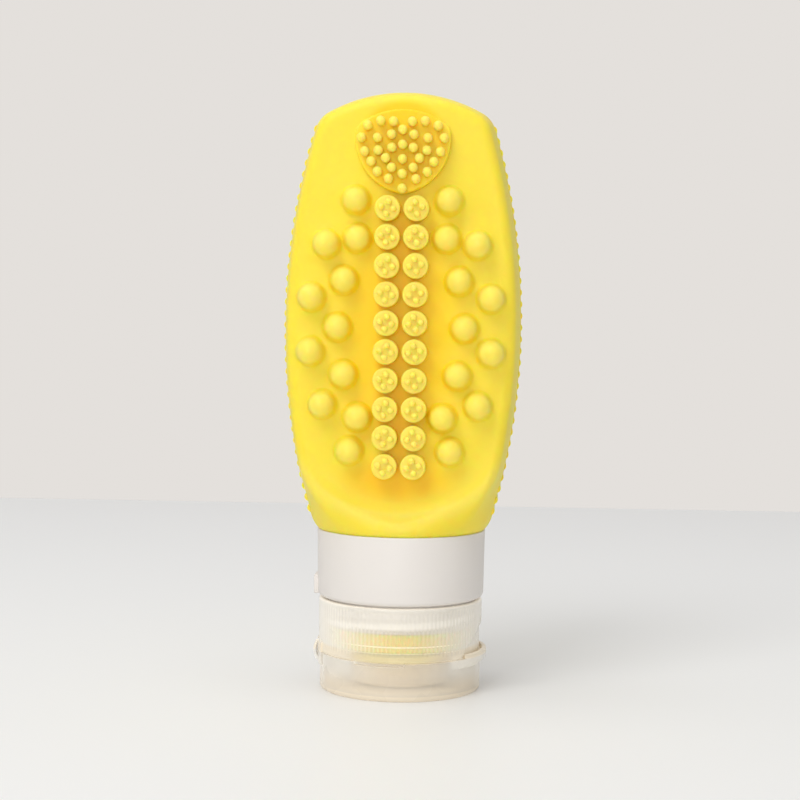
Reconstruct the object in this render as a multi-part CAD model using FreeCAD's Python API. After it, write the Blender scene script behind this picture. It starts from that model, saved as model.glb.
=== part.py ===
import FreeCAD
import Part
import math
import os

# Travel squeeze bottle that stands upside down on its flip lid.
# Millimetres, +Z up, massage front at -Y, hinge at -X, origin at the centre of the rest face.

Vector = FreeCAD.Vector
up = Vector(0, 0, 1)
full_turn = 360
quarter_turn = 90
cut_overrun = 2.0
join_tolerance = 0.01

# Flip lid
lid_step = 0.3
lid_height = 9.0
lid_wall = 1.1
lid_floor = 1.4
lid_edge_round = 1.0
seal_pad_radius = 3.9
seal_pad_height = 0.8
parting_gap = 0.2
tab_reach = 1.5
tab_inset = 3.15
tab_drop = 2.6
tab_rise = 1.2
tab_round = 0.5
tab_slope = 1.0
notch_depth = 0.75
notch_start_angle = 239
notch_sweep_angle = 37
tongue_clearance = 0.15

# Screw cap
thread_room = 1.0
cap_wall = 1.25
cap_edge_round = 0.6
deck_thickness = 1.8
boss_step = 0.55
boss_wall = 1.2
boss_plate = 1.2
boss_round = 0.8
boss_clearance = 0.6
orifice_radius = 4.6
collar_gap = 0.4
grip_rib_count = 120
grip_rib_depth = 0.25
grip_low_band = 1.2
grip_high_band = 0.8
hinge_pad_angle = 44
thumb_scoop_depth = 0.5
thumb_scoop_height = 7.0
thumb_scoop_half_width = 12.5

# Moulded hinge
strap_width = 6.0
strap_thickness = 0.55
strap_reach = 1.4
strap_rise = 2.7
strap_drop = 3.1
web_thickness = 0.5
web_taper = 0.6
web_rise = 2.6
web_drop = 3.3
web_start_angle = 12
web_sweep_angle = 9
hinge_seat_clearance = 0.05
hinge_lid_clearance = 0.12

# Slit valve and its ring
valve_flange_radius = 7.5
valve_flange = 1.0
valve_cup_wall = 0.7
valve_cup_clearance = 0.35
valve_membrane = 0.6
valve_recess = 0.4
slit_length = 5.0
slit_width = 0.12
retainer_height = 1.6
retainer_width = 5.05
retainer_clearance = 0.05

# Neck collar
collar_step = 0.55
collar_height = 16.1
collar_taper = 0.25
collar_round = 1.2
collar_outer_wall = 1.8
collar_inner_wall = 1.7
collar_web = 2.0
spigot_height = 6.9
spigot_wall = 2.7
lug_width = 6.0
lug_height = 4.4
lug_reach = 0.6
lug_base = 0.4

# Silicone neck
neck_radius = 14.45
neck_wall = 2.0
neck_clearance = 0.05
lip_height = 4.3

# Silicone body
body_height = 103.0
body_half_width = 27.8
waist_height = 48.2
side_foot_step = 0.55
corner_arc_radius = 6.6
crown_arc_radius = 37.0
side_bow = 1.7
panel_depth_low = 16.2
panel_depth_high = 12.6
panel_edge_round = 2.6
cavity_edge_round = 1.2
body_wall = 2.2
seam_step = 0.3
shoulder_height = 18.7
shoulder_height_shares = (0.0, 0.1, 0.32, 0.66, 0.88, 1.0)
shoulder_square_shares = (0.0, 0.06, 0.42, 0.88, 0.985, 1.0)
shoulder_bulge_shares = (1.0, 1.15, 0.98, 0.42, 0.08, 0.0)
edge_point_shares = (0.25, 0.5, 0.75)
ledge_centre_height = 35.3
ledge_radius = 27.0
ledge_round = 6.0

# Grip ribs on the narrow sides
side_rib_pitch = 2.75
side_rib_radius = 1.1
side_rib_rise = 0.26
side_rib_length = 9.0
side_rib_top_gap = 8.0
side_rib_foot_gap = 3.8

# Massage nubs, each place a share of the half width and of the panel's height
nub_radius = 3.3
nub_tip_radius = 2.85
nub_foot_round = 1.0
nub_foot_sink_share = 0.1
nub_first_height = 11.7
tall_nub_height = 6.0
low_nub_height = 5.3
root_depth = 1.0
tall_nub_shares = ((0.625, 0.607), (0.745, 0.473), (0.75, 0.336), (0.645, 0.203))
low_nub_shares = (
    (0.386, 0.718), (0.37, 0.622), (0.476, 0.516), (0.525, 0.398),
    (0.472, 0.279), (0.353, 0.172), (0.418, 0.087),
)

# Bristle discs
disc_radius = 2.95
disc_height = 4.0
disc_round = 0.5
disc_pitch = 6.56
disc_first_row = 16.2
disc_column_offset = 3.3
disc_bristle_radius = 0.76
disc_bristle_height = 1.5
disc_bristle_ring = 1.42
disc_bristle_count = 4
disc_bristle_turn = 11

# Bristle pad
pad_half_width = 11.0
pad_side_radius = 13.0
pad_widest_rise = 1.7
pad_crown_radius = 16.7
pad_top_reach = 8.3
pad_drop = 13.3
pad_rise = 2.2
pad_shoulder_round = 3.5
pad_edge_round = 0.5
pad_bristle_radius = 1.08
pad_bristle_height = 3.2
pad_centre_bristle_shares = (-0.91, -0.606, -0.304, -0.005, 0.304)
pad_side_bristle_shares = (
    (0.286, -0.712), (0.515, -0.564), (0.649, -0.355), (0.786, -0.147), (0.858, 0.138),
    (0.73, 0.388), (0.46, 0.485), (0.195, 0.473), (0.224, -0.48), (0.35, -0.286),
    (0.506, -0.123), (0.524, 0.135), (0.234, 0.205), (0.222, -0.067),
)

# Levels that follow from the sizes above, from the rest face upwards
cap_floor = lid_height + parting_gap
boss_bottom = lid_floor + boss_clearance
boss_inside = boss_bottom + boss_plate
deck_top = cap_floor + deck_thickness
lip_top = deck_top + lip_height
collar_bottom = lip_top + spigot_height
cap_top = collar_bottom - collar_gap
collar_top = collar_bottom + collar_height
body_top = collar_top + body_height
waist_level = collar_top + waist_height
panel_foot = collar_top + shoulder_height
panel_lean = math.degrees(math.atan2(panel_depth_low - panel_depth_high, body_top - panel_foot))

# Radii that follow from the silicone neck outwards
neck_bore_radius = neck_radius - neck_wall
boss_radius = neck_bore_radius - boss_step
boss_bore_radius = boss_radius - boss_wall
collar_bore_radius = neck_radius + neck_clearance
spigot_radius = collar_bore_radius + spigot_wall
cap_bore_radius = spigot_radius + thread_room
cap_radius = cap_bore_radius + cap_wall
lid_radius = cap_radius - lid_step
tab_radius = lid_radius - tab_inset
collar_radius = cap_radius + collar_step
seam_radius = collar_radius - seam_step

# Body sizes that follow from its height, its width and the collar
side_swell = body_half_width - collar_radius - side_foot_step
side_arc_radius = (waist_height ** 2 + side_swell ** 2) / (2 * side_swell)
ribs_above_waist = int((body_height - waist_height - side_rib_top_gap) / side_rib_pitch)
ribs_below_waist = int((waist_height - side_rib_foot_gap) / side_rib_pitch)
pad_centre_height = body_height - pad_drop
pad_side_offset = pad_side_radius - pad_half_width
pad_foot_reach = math.sqrt(pad_side_radius ** 2 - pad_side_offset ** 2) - pad_widest_rise
disc_room = pad_centre_height - pad_foot_reach - disc_radius - disc_first_row
disc_rows = int(disc_room / disc_pitch) + 1


def turned(profile, start_angle=0, sweep_angle=full_turn):
    corners = [Vector(radius, 0, height) for radius, height in profile]
    face = Part.Face(Part.makePolygon(corners + corners[:1]))
    face.rotate(Vector(), up, start_angle)
    return face.revolve(Vector(), up, sweep_angle)


def disc(radius, low, high):
    return Part.makeCylinder(radius, high - low, Vector(0, 0, low))


def ring(inner, outer, low, high, start_angle=0, sweep_angle=full_turn):
    corners = ((inner, low), (outer, low), (outer, high), (inner, high))
    return turned(corners, start_angle, sweep_angle)


def rounded_rim(shape, size, radius, height):
    rim = Vector(radius, 0, height)
    edges = [edge for edge in shape.Edges if is_ring_at(edge, rim)]
    return shape.makeFillet(size, edges)


def is_ring_at(edge, rim):
    if not isinstance(edge.Curve, Part.Circle):
        return False
    same_radius = math.isclose(edge.Curve.Radius, rim.x, rel_tol=1e-6)
    same_level = math.isclose(edge.Curve.Center.z, rim.z, rel_tol=1e-6, abs_tol=1e-9)
    return same_radius and same_level


def polar(centre, radius, towards):
    return centre + (towards - centre).normalize() * radius


def flip_lid():
    bore = lid_radius - lid_wall
    pad_top = lid_floor + seal_pad_height
    cup = turned((
        (0, 0), (lid_radius, 0), (lid_radius, lid_height), (bore, lid_height),
        (bore, lid_floor), (seal_pad_radius, lid_floor), (seal_pad_radius, pad_top), (0, pad_top),
    ))
    cup = rounded_rim(cup, lid_edge_round, lid_radius, 0)
    notch = ring(
        bore - cut_overrun, lid_radius + cut_overrun, lid_height - notch_depth,
        lid_height + cut_overrun, notch_start_angle, notch_sweep_angle,
    )
    return cup.cut(notch).fuse(thumb_tab())


def thumb_tab():
    low = lid_height - tab_drop
    high = lid_height + tab_rise
    plate = turned((
        (0, low), (tab_radius - tab_slope, low), (tab_radius, low + tab_slope),
        (tab_radius, high), (0, high),
    ))
    plate = rounded_rim(plate, tab_round, tab_radius, high)
    plate.translate(Vector(lid_radius + tab_reach - tab_radius, 0, 0))
    inside = disc(lid_radius - lid_wall / 2, low - cut_overrun, high)
    above_rim = disc(cap_radius, lid_height, high + cut_overrun)
    return plate.cut(inside.fuse(above_rim))


def cap_base():
    shell = turned((
        (orifice_radius, boss_bottom), (boss_radius, boss_bottom), (boss_radius, cap_floor),
        (cap_radius, cap_floor), (cap_radius, cap_top), (cap_bore_radius, cap_top),
        (cap_bore_radius, deck_top), (boss_bore_radius, deck_top), (boss_bore_radius, boss_inside),
        (orifice_radius, boss_inside),
    ))
    shell = rounded_rim(shell, boss_round, boss_radius, boss_bottom)
    shell = rounded_rim(shell, cap_edge_round, cap_radius, cap_top)
    return shell.cut(grip_grooves()).cut(thumb_scoop()).fuse(rim_tongue())


def grip_grooves():
    low = cap_floor + grip_low_band
    valley = cap_radius - grip_rib_depth
    step = full_turn / grip_rib_count
    corners = []
    for index in range(grip_rib_count):
        corners.append(Vector(cap_radius, 0, low))
        corners.append(Vector(valley, 0, low))
    turns = [step / 2 * index for index in range(len(corners))]
    star = [FreeCAD.Rotation(up, turn).multVec(corner) for turn, corner in zip(turns, corners)]
    outside = Part.Wire(Part.makeCircle(cap_radius + cut_overrun, Vector(0, 0, low)))
    face = Part.makeFace([outside, Part.makePolygon(star + star[:1])], "Part::FaceMakerBullseye")
    grooves = face.extrude(up * (cap_top - grip_high_band - low))
    hinge_pad = ring(
        valley - cut_overrun, cap_radius + cut_overrun, cap_floor, cap_top,
        full_turn / 2 - hinge_pad_angle / 2, hinge_pad_angle,
    )
    return grooves.cut(hinge_pad)


def thumb_scoop():
    arch_radius = (thumb_scoop_half_width ** 2 + thumb_scoop_height ** 2) / (2 * thumb_scoop_height)
    arch_centre = Vector(0, 0, cap_floor + thumb_scoop_height - arch_radius)
    arch = Part.makeCylinder(arch_radius, cap_radius + cut_overrun, arch_centre, Vector(1, 0, 0))
    skin = ring(cap_radius - thumb_scoop_depth, cap_radius + cut_overrun, cap_floor, cap_top)
    return arch.common(skin)


def rim_tongue():
    clearance_angle = math.degrees(tongue_clearance / lid_radius)
    return ring(
        lid_radius - lid_wall, lid_radius, cap_floor - notch_depth, cap_floor,
        notch_start_angle + clearance_angle, notch_sweep_angle - 2 * clearance_angle,
    )


def hinge_walls():
    low = cap_floor - strap_drop - cut_overrun
    cap_side = disc(cap_radius + hinge_seat_clearance, cap_floor, cap_top)
    lid_side = disc(lid_radius + hinge_lid_clearance, low, cap_floor)
    return cap_side.fuse(lid_side)


def hinge_strap():
    high = Vector(-cap_radius, -strap_width / 2, cap_floor + strap_rise)
    bend = Vector(-cap_radius - strap_reach, -strap_width / 2, cap_floor)
    low = Vector(-lid_radius, -strap_width / 2, cap_floor - strap_drop)
    inward = Vector(strap_thickness, 0, 0)
    outer = Part.Arc(high, bend, low).toShape()
    inner = Part.Arc(low + inward, bend + inward, high + inward).toShape()
    foot = Part.makeLine(low, low + inward)
    head = Part.makeLine(high + inward, high)
    band = Part.Face(Part.Wire([outer, foot, inner, head]))
    return band.extrude(Vector(0, strap_width, 0)).cut(hinge_walls())


def hinge_webs():
    low = cap_floor - web_drop
    high = cap_floor + web_rise
    outside = cap_radius + web_thickness
    profile = (
        (cap_bore_radius, low), (lid_radius, low), (outside, low + web_taper),
        (outside, high - web_taper), (cap_radius, high), (cap_bore_radius, high),
    )
    webs = []
    for start in (web_start_angle, -web_start_angle - web_sweep_angle):
        web = turned(profile, full_turn / 2 + start, web_sweep_angle)
        webs.append(web.cut(hinge_walls()))
    return Part.makeCompound(webs)


def slit_valve():
    cup_radius = orifice_radius - valve_cup_clearance
    cup_bore = cup_radius - valve_cup_wall
    cup_bottom = boss_bottom + valve_recess
    flange_top = boss_inside + valve_flange
    valve = turned((
        (0, cup_bottom), (cup_radius, cup_bottom), (cup_radius, boss_inside),
        (valve_flange_radius, boss_inside), (valve_flange_radius, flange_top),
        (cup_bore, flange_top), (cup_bore, cup_bottom + valve_membrane),
        (0, cup_bottom + valve_membrane),
    ))
    slit = Part.makeBox(slit_length, slit_width, valve_membrane + 2 * cut_overrun)
    slit.translate(Vector(-slit_length / 2, -slit_width / 2, cup_bottom - cut_overrun))
    cross = slit.copy()
    cross.rotate(Vector(), up, quarter_turn)
    return valve.cut(slit.fuse(cross))


def valve_retainer():
    low = boss_inside + valve_flange
    outside = boss_bore_radius - retainer_clearance
    return ring(outside - retainer_width, outside, low, low + retainer_height)


def neck_collar():
    low_radius = collar_radius - collar_taper
    channel_outer = collar_radius - collar_outer_wall
    channel_inner = collar_bore_radius + collar_inner_wall
    channel_floor = collar_bottom + collar_web
    shell = turned((
        (collar_bore_radius, lip_top), (spigot_radius, lip_top), (spigot_radius, collar_bottom),
        (low_radius, collar_bottom), (collar_radius, collar_top), (channel_outer, collar_top),
        (channel_outer, channel_floor), (channel_inner, channel_floor), (channel_inner, collar_top),
        (collar_bore_radius, collar_top),
    ))
    shell = rounded_rim(shell, collar_round, low_radius, collar_bottom)
    return shell.fuse(index_lug())


def index_lug():
    low = collar_bottom + lug_base
    depth = collar_outer_wall / 2 + lug_reach
    lug = Part.makeBox(depth, lug_width, lug_height, Vector(-collar_radius - lug_reach, -lug_width / 2, low))
    outer = [edge for edge in lug.Edges if edge.BoundBox.XMax < -collar_radius]
    return lug.makeFillet(lug_reach / 2, outer)


def outline_centres():
    side = Vector(body_half_width - side_arc_radius, 0, waist_level)
    crown = Vector(0, 0, body_top - crown_arc_radius)
    side_reach = side_arc_radius - corner_arc_radius
    crown_reach = crown_arc_radius - corner_arc_radius
    span = crown - side
    along = (side_reach ** 2 - crown_reach ** 2 + span.Length ** 2) / (2 * span.Length)
    across = math.sqrt(side_reach ** 2 - along ** 2)
    line = Vector(span).normalize()
    corner = side + line * along + Vector(-line.z, 0, line.x) * across
    return side, corner, crown


def side_half_width(level, inset):
    radius = side_arc_radius - inset
    return body_half_width - side_arc_radius + math.sqrt(radius ** 2 - (level - waist_level) ** 2)


def body_outline(inset):
    side, corner, crown = outline_centres()
    foot = Vector(side_half_width(panel_foot, inset), 0, panel_foot)
    waist = side + Vector(side_arc_radius - inset, 0, 0)
    side_end = polar(side, side_arc_radius - inset, corner)
    crown_end = polar(crown, crown_arc_radius - inset, corner)
    corner_middle = polar(corner, corner_arc_radius - inset, (side_end + crown_end) * 0.5)
    top = crown + up * (crown_arc_radius - inset)
    right = [(foot, waist, side_end), (side_end, corner_middle, crown_end)]
    edges = [Part.Arc(*points).toShape() for points in right]
    edges.append(Part.Arc(crown_end, top, mirrored(crown_end)).toShape())
    for start, middle, end in reversed(right):
        edges.append(Part.Arc(mirrored(end), mirrored(middle), mirrored(start)).toShape())
    edges.append(Part.makeLine(mirrored(foot), foot))
    return Part.Wire(edges)


def mirrored(point):
    return Vector(-point.x, point.y, point.z)


def body_slab(inset, edge_round):
    faces = []
    for side in (-1, 0, 1):
        outline = body_outline(inset + side_bow * abs(side))
        outline.rotate(Vector(0, 0, panel_foot), Vector(1, 0, 0), side * panel_lean)
        outline.translate(Vector(0, side * (panel_depth_low - inset), 0))
        faces.append(outline)
    slab = Part.makeLoft(faces, True)
    panels = [face for face in slab.Faces if is_panel(face)]
    rims = [edge for face in panels for edge in face.Edges if edge.BoundBox.ZMax > waist_level]
    return slab.makeFillet(edge_round, rims)


def is_panel(face):
    normal = face.normalAt(0, 0)
    flat = math.isclose(abs(normal.y), math.cos(math.radians(panel_lean)), rel_tol=1e-6)
    return flat and face.BoundBox.XLength > body_half_width


def slab_foot_wire(slab):
    low_faces = [face for face in slab.Faces if face.BoundBox.ZMax < panel_foot + body_wall / 2]
    return low_faces[0].OuterWire


def edge_points(edge):
    start = edge.firstVertex(True).Point
    span = edge.LastParameter - edge.FirstParameter
    inner = [edge.valueAt(edge.FirstParameter + span * share) for share in edge_point_shares]
    if inner[0].distanceToPoint(start) > inner[-1].distanceToPoint(start):
        inner.reverse()
    return [start] + inner + [edge.lastVertex(True).Point]


def shoulder_wire(foot_wire, inset, level, square_share, bulge_share):
    foot_width = side_half_width(panel_foot, inset)
    foot_depth = panel_depth_low - inset
    round_radius = seam_radius - inset
    half_width = side_half_width(level, inset) if square_share else round_radius
    half_depth = foot_depth + (round_radius - foot_depth) * bulge_share
    edges = []
    for edge in foot_wire.OrderedEdges:
        points = []
        for corner in edge_points(edge):
            square = Vector(corner.x / foot_width, corner.y / foot_depth, 0)
            circle = Vector(square).normalize()
            unit = circle * (1 - square_share) + square * square_share
            points.append(Vector(unit.x * half_width, unit.y * half_depth, level))
        curve = Part.BSplineCurve()
        curve.interpolate(points)
        edges.append(curve.toShape())
    return Part.Wire(edges)


def body_shoulder(slab, inset):
    foot_wire = slab_foot_wire(slab)
    base = collar_top + inset
    wires = []
    shares = zip(shoulder_height_shares, shoulder_square_shares, shoulder_bulge_shares)
    for height_share, square_share, bulge_share in shares:
        level = base + (panel_foot - base) * height_share
        wires.append(shoulder_wire(foot_wire, inset, level, square_share, bulge_share))
    return Part.makeLoft(wires, True)


def front_ledge(inset):
    floor = join_tolerance - inset
    round_radius = ledge_round + inset
    centre = Vector(ledge_radius, 0, floor + round_radius)
    start = Vector(ledge_radius, 0, floor)
    end = centre + Vector(round_radius, 0, 0)
    middle = polar(centre, round_radius, (start + end) * 0.5)
    edges = [
        Part.makeLine(Vector(0, 0, floor), start),
        Part.Arc(start, middle, end).toShape(),
        Part.makeLine(end, Vector(0, 0, end.z)),
        Part.makeLine(Vector(0, 0, end.z), Vector(0, 0, floor)),
    ]
    hollow = Part.Face(Part.Wire(edges)).revolve(Vector(), up, full_turn)
    return on_panel(hollow, 0, ledge_centre_height)


def body_form(inset, edge_round):
    slab = body_slab(inset, edge_round)
    shoulder = body_shoulder(slab, inset).cut(front_ledge(inset))
    return slab.fuse([shoulder], join_tolerance)


def on_panel(shape, across, along):
    placed = shape.copy()
    placed.translate(Vector(across, along - shoulder_height, 0))
    placed.rotate(Vector(), Vector(1, 0, 0), quarter_turn - panel_lean)
    placed.translate(Vector(0, -panel_depth_low, panel_foot))
    return placed


def nub(height):
    foot_sink = nub_foot_round * nub_foot_sink_share
    foot_radius = nub_radius + nub_foot_round
    flare_end = Vector(nub_radius, 0, nub_foot_round - foot_sink)
    flare_start = Vector(foot_radius, 0, -foot_sink)
    flare_centre = Vector(foot_radius, 0, nub_foot_round - foot_sink)
    flare_middle = polar(flare_centre, nub_foot_round, (flare_start + flare_end) * 0.5)
    tip_start = Vector(nub_tip_radius, 0, height - nub_tip_radius)
    tip_middle = Vector(0, 0, height - nub_tip_radius) + Vector(1, 0, 1).normalize() * nub_tip_radius
    tip = Vector(0, 0, height)
    root = Vector(0, 0, -root_depth)
    edges = [
        Part.makeLine(root, Vector(foot_radius, 0, -root_depth)),
        Part.makeLine(Vector(foot_radius, 0, -root_depth), flare_start),
        Part.Arc(flare_start, flare_middle, flare_end).toShape(),
        Part.makeLine(flare_end, tip_start),
        Part.Arc(tip_start, tip_middle, tip).toShape(),
        Part.makeLine(tip, root),
    ]
    return Part.Face(Part.Wire(edges)).revolve(Vector(), up, full_turn)


def bristle(radius, height, root):
    shaft = disc(radius, -root, height - radius)
    dome = Part.makeSphere(radius, Vector(0, 0, height - radius), up, 0, quarter_turn)
    return shaft.fuse(dome)


def bristle_disc(turn):
    base = disc(disc_radius, -root_depth, disc_height)
    base = rounded_rim(base, disc_round, disc_radius, disc_height)
    pin = bristle(disc_bristle_radius, disc_bristle_height, disc_round)
    for index in range(disc_bristle_count):
        placed = pin.copy()
        placed.translate(Vector(disc_bristle_ring, 0, disc_height))
        placed.rotate(Vector(), up, turn + full_turn / disc_bristle_count * index)
        base = base.fuse(placed)
    return base


def bristle_pad():
    crown_centre = Vector(0, pad_top_reach - pad_crown_radius, -root_depth)
    plate = Part.makeCylinder(pad_crown_radius, root_depth + pad_rise, crown_centre)
    for side in (-1, 1):
        side_centre = Vector(side * pad_side_offset, pad_widest_rise, -root_depth)
        side_column = Part.makeCylinder(pad_side_radius, root_depth + pad_rise, side_centre)
        side_column.rotate(side_centre, up, quarter_turn - side * quarter_turn)
        plate = plate.common(side_column)
    uprights = [edge for edge in plate.Edges if edge.BoundBox.ZLength > pad_rise and is_straight(edge)]
    plate = plate.makeFillet(pad_shoulder_round, uprights)
    rim = [edge for edge in plate.Edges if edge.BoundBox.ZMin > pad_rise - pad_edge_round]
    plate = plate.makeFillet(pad_edge_round, rim)
    pin = bristle(pad_bristle_radius, pad_bristle_height, pad_edge_round)
    places = [(0, share) for share in pad_centre_bristle_shares]
    for across, along in pad_side_bristle_shares:
        places += [(across, along), (-across, along)]
    pins = []
    for across, along in places:
        placed = pin.copy()
        placed.translate(Vector(across * pad_half_width, along * pad_half_width, pad_rise))
        pins.append(placed)
    return plate.multiFuse(pins)


def is_straight(edge):
    return isinstance(edge.Curve, Part.Line) and len(edge.Vertexes) == 2


def front_features():
    features = []
    for height, shares in ((tall_nub_height, tall_nub_shares), (low_nub_height, low_nub_shares)):
        knob = nub(height)
        for across_share, along_share in shares:
            along = nub_first_height + along_share * (body_height - nub_first_height)
            for side in (-1, 1):
                features.append(on_panel(knob, side * across_share * body_half_width, along))
    for side in (-1, 1):
        plate = bristle_disc(side * disc_bristle_turn)
        for row in range(disc_rows):
            along = disc_first_row + row * disc_pitch
            features.append(on_panel(plate, side * disc_column_offset, along))
    features.append(on_panel(bristle_pad(), 0, pad_centre_height))
    return features


def side_ribs():
    ribs = []
    centre_radius = side_arc_radius + side_rib_rise - side_rib_radius
    side_centre = body_half_width - side_arc_radius
    step = side_rib_pitch / side_arc_radius
    for index in range(-ribs_below_waist, ribs_above_waist + 1):
        across = side_centre + centre_radius * math.cos(step * index)
        level = waist_level + centre_radius * math.sin(step * index)
        for side in (-1, 1):
            start = Vector(side * across, -side_rib_length / 2, level)
            ribs.append(Part.makeCylinder(side_rib_radius, side_rib_length, start, Vector(0, 1, 0)))
    return ribs


def neck_sleeve():
    return turned((
        (neck_bore_radius, deck_top), (spigot_radius, deck_top), (spigot_radius, lip_top),
        (neck_radius, lip_top), (neck_radius, collar_top + body_wall / 2),
        (neck_bore_radius, collar_top + body_wall / 2),
    ))


def bottle_body():
    outside = body_form(0, panel_edge_round)
    cavity = body_form(body_wall, cavity_edge_round)
    funnel_radius = seam_radius - body_wall
    funnel = Part.makeCone(neck_bore_radius, funnel_radius, 2 * body_wall, Vector(0, 0, collar_top))
    shell = outside.cut(cavity.fuse(funnel))
    return shell.multiFuse(front_features() + side_ribs() + [neck_sleeve()])


def main():
    os.makedirs("parts", exist_ok=True)
    pieces = (
        bottle_body, neck_collar, cap_base, slit_valve, valve_retainer, flip_lid, hinge_strap, hinge_webs,
    )
    for piece in pieces:
        shape = piece()
        shape.exportStep("parts/" + piece.__name__ + ".step")
        print(piece.__name__, len(shape.Solids), "solids", round(shape.Volume), "mm3", shape.isValid())


main()
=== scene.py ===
import math

import bmesh
import bpy
from mathutils import Matrix, Vector
from mathutils.kdtree import KDTree


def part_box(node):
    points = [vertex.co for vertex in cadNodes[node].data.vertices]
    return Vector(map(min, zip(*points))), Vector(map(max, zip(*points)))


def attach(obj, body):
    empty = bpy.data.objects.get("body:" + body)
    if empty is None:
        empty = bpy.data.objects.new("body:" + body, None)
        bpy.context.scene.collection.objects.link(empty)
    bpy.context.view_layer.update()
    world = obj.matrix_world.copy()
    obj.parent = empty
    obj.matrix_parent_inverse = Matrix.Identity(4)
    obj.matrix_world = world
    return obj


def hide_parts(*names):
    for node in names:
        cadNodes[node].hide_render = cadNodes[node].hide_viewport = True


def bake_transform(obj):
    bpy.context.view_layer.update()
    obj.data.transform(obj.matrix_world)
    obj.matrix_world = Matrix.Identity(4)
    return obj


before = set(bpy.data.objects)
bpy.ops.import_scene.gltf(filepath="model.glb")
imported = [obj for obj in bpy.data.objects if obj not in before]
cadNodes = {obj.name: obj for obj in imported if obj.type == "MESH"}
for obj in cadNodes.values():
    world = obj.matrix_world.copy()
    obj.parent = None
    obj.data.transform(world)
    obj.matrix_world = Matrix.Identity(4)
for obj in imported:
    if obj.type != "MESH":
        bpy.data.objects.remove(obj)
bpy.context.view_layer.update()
mm = 0.001
hair = 1e-7  # metres, more than the noise in a coordinate
upAxis = Vector((0, 0, 1))
print("frame loaded:", ", ".join(sorted(cadNodes)))


# Places read from the frame

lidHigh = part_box("flip_lid")[1]
capLow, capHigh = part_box("cap_base")
collarLow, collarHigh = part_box("neck_collar")
strapLow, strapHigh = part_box("hinge_strap")
websLow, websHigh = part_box("hinge_webs")


# Shader steps that several finishes share

grainKinds = (  # output, input, detail of the noise
    ("Mottle", "Cloud Scale", 3.0),
    ("Grain", "Grain Scale", 5.0),
)
wholeDepth = 1000.0  # metres, so that a zone reaches through the bottle


def addPlace(tree):
    return tree.nodes.new("ShaderNodeTexCoord").outputs["Object"]


def addAxes(tree):
    split = tree.nodes.new("ShaderNodeSeparateXYZ")
    tree.links.new(addPlace(tree), split.inputs[0])
    return split.outputs


def mouldedGrain():
    # Mottle is a slow cloud in the resin, Grain the fine matte of the mould
    group = bpy.data.node_groups.new("mouldedGrain", "ShaderNodeTree")
    for output, source, detail in grainKinds:
        for label, side in ((source, "INPUT"), (output, "OUTPUT")):
            group.interface.new_socket(label, in_out=side, socket_type="NodeSocketFloat")
    inside = group.nodes.new("NodeGroupInput")
    outside = group.nodes.new("NodeGroupOutput")
    place = addPlace(group)
    for output, source, detail in grainKinds:
        noise = group.nodes.new("ShaderNodeTexNoise")
        noise.inputs["Detail"].default_value = detail
        group.links.new(place, noise.inputs["Vector"])
        group.links.new(inside.outputs[source], noise.inputs["Scale"])
        group.links.new(noise.outputs["Fac"], outside.inputs[output])
    return group


grainGroup = mouldedGrain()


def startMaterial(name):
    material = bpy.data.materials.new(name)
    material.use_nodes = True
    tree = material.node_tree
    return material, tree, tree.nodes["Principled BSDF"]


def addGrain(tree, cloudScale, grainScale):
    grain = tree.nodes.new("ShaderNodeGroup")
    grain.node_tree = grainGroup
    grain.inputs["Cloud Scale"].default_value = cloudScale
    grain.inputs["Grain Scale"].default_value = grainScale
    return grain.outputs["Mottle"], grain.outputs["Grain"]


def addMix(tree, share, first, second, kind="RGBA"):
    # first and second are an output socket, a colour or, where kind is FLOAT, a number
    mix = tree.nodes.new("ShaderNodeMix")
    mix.data_type = kind
    tree.links.new(share, mix.inputs["Factor"])
    for socket, value in ((mix.inputs["A"], first), (mix.inputs["B"], second)):
        if hasattr(value, "links"):
            tree.links.new(value, socket)
        else:
            socket.default_value = (*value, 1.0) if kind == "RGBA" else value
    return mix.outputs["Result"]


def addMath(tree, operation, first, *others):
    for other in others:
        step = tree.nodes.new("ShaderNodeMath")
        step.operation = operation
        tree.links.new(first, step.inputs[0])
        tree.links.new(other, step.inputs[1])
        first = step.outputs[0]
    return first


def addVector(tree, operation, source, other=(0, 0, 0)):
    step = tree.nodes.new("ShaderNodeVectorMath")
    step.operation = operation
    step.inputs[1].default_value = other
    tree.links.new(source, step.inputs[0])
    return step.outputs["Value" if operation in ("LENGTH", "DOT_PRODUCT") else "Vector"]


def addSpan(tree, value, first, last):
    span = tree.nodes.new("ShaderNodeMapRange")
    span.inputs["To Min"].default_value = first
    span.inputs["To Max"].default_value = last
    tree.links.new(value, span.inputs["Value"])
    return span.outputs["Result"]


def addFade(tree, value, low, high, first, last):
    fade = tree.nodes.new("ShaderNodeMapRange")
    fade.interpolation_type = "SMOOTHSTEP"
    fade.inputs["From Min"].default_value = low
    fade.inputs["From Max"].default_value = high
    fade.inputs["To Min"].default_value = first
    fade.inputs["To Max"].default_value = last
    tree.links.new(value, fade.inputs["Value"])
    return fade.outputs["Result"]


def addZone(tree, level, halfWidth, halfHeight, inner, outer):
    # 1 inside an oval seen from the front, 0 outside it
    away = addVector(tree, "SUBTRACT", addPlace(tree), (0, 0, level))
    share = addVector(tree, "DIVIDE", away, (halfWidth, wholeDepth, halfHeight))
    return addFade(tree, addVector(tree, "LENGTH", share), inner, outer, 1.0, 0.0)


def addRound(tree, inner, outer):
    # 1 near the bottle's axis, 0 beyond outer
    flat = addVector(tree, "MULTIPLY", addPlace(tree), (1, 1, 0))
    return addFade(tree, addVector(tree, "LENGTH", flat), inner, outer, 1.0, 0.0)


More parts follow.
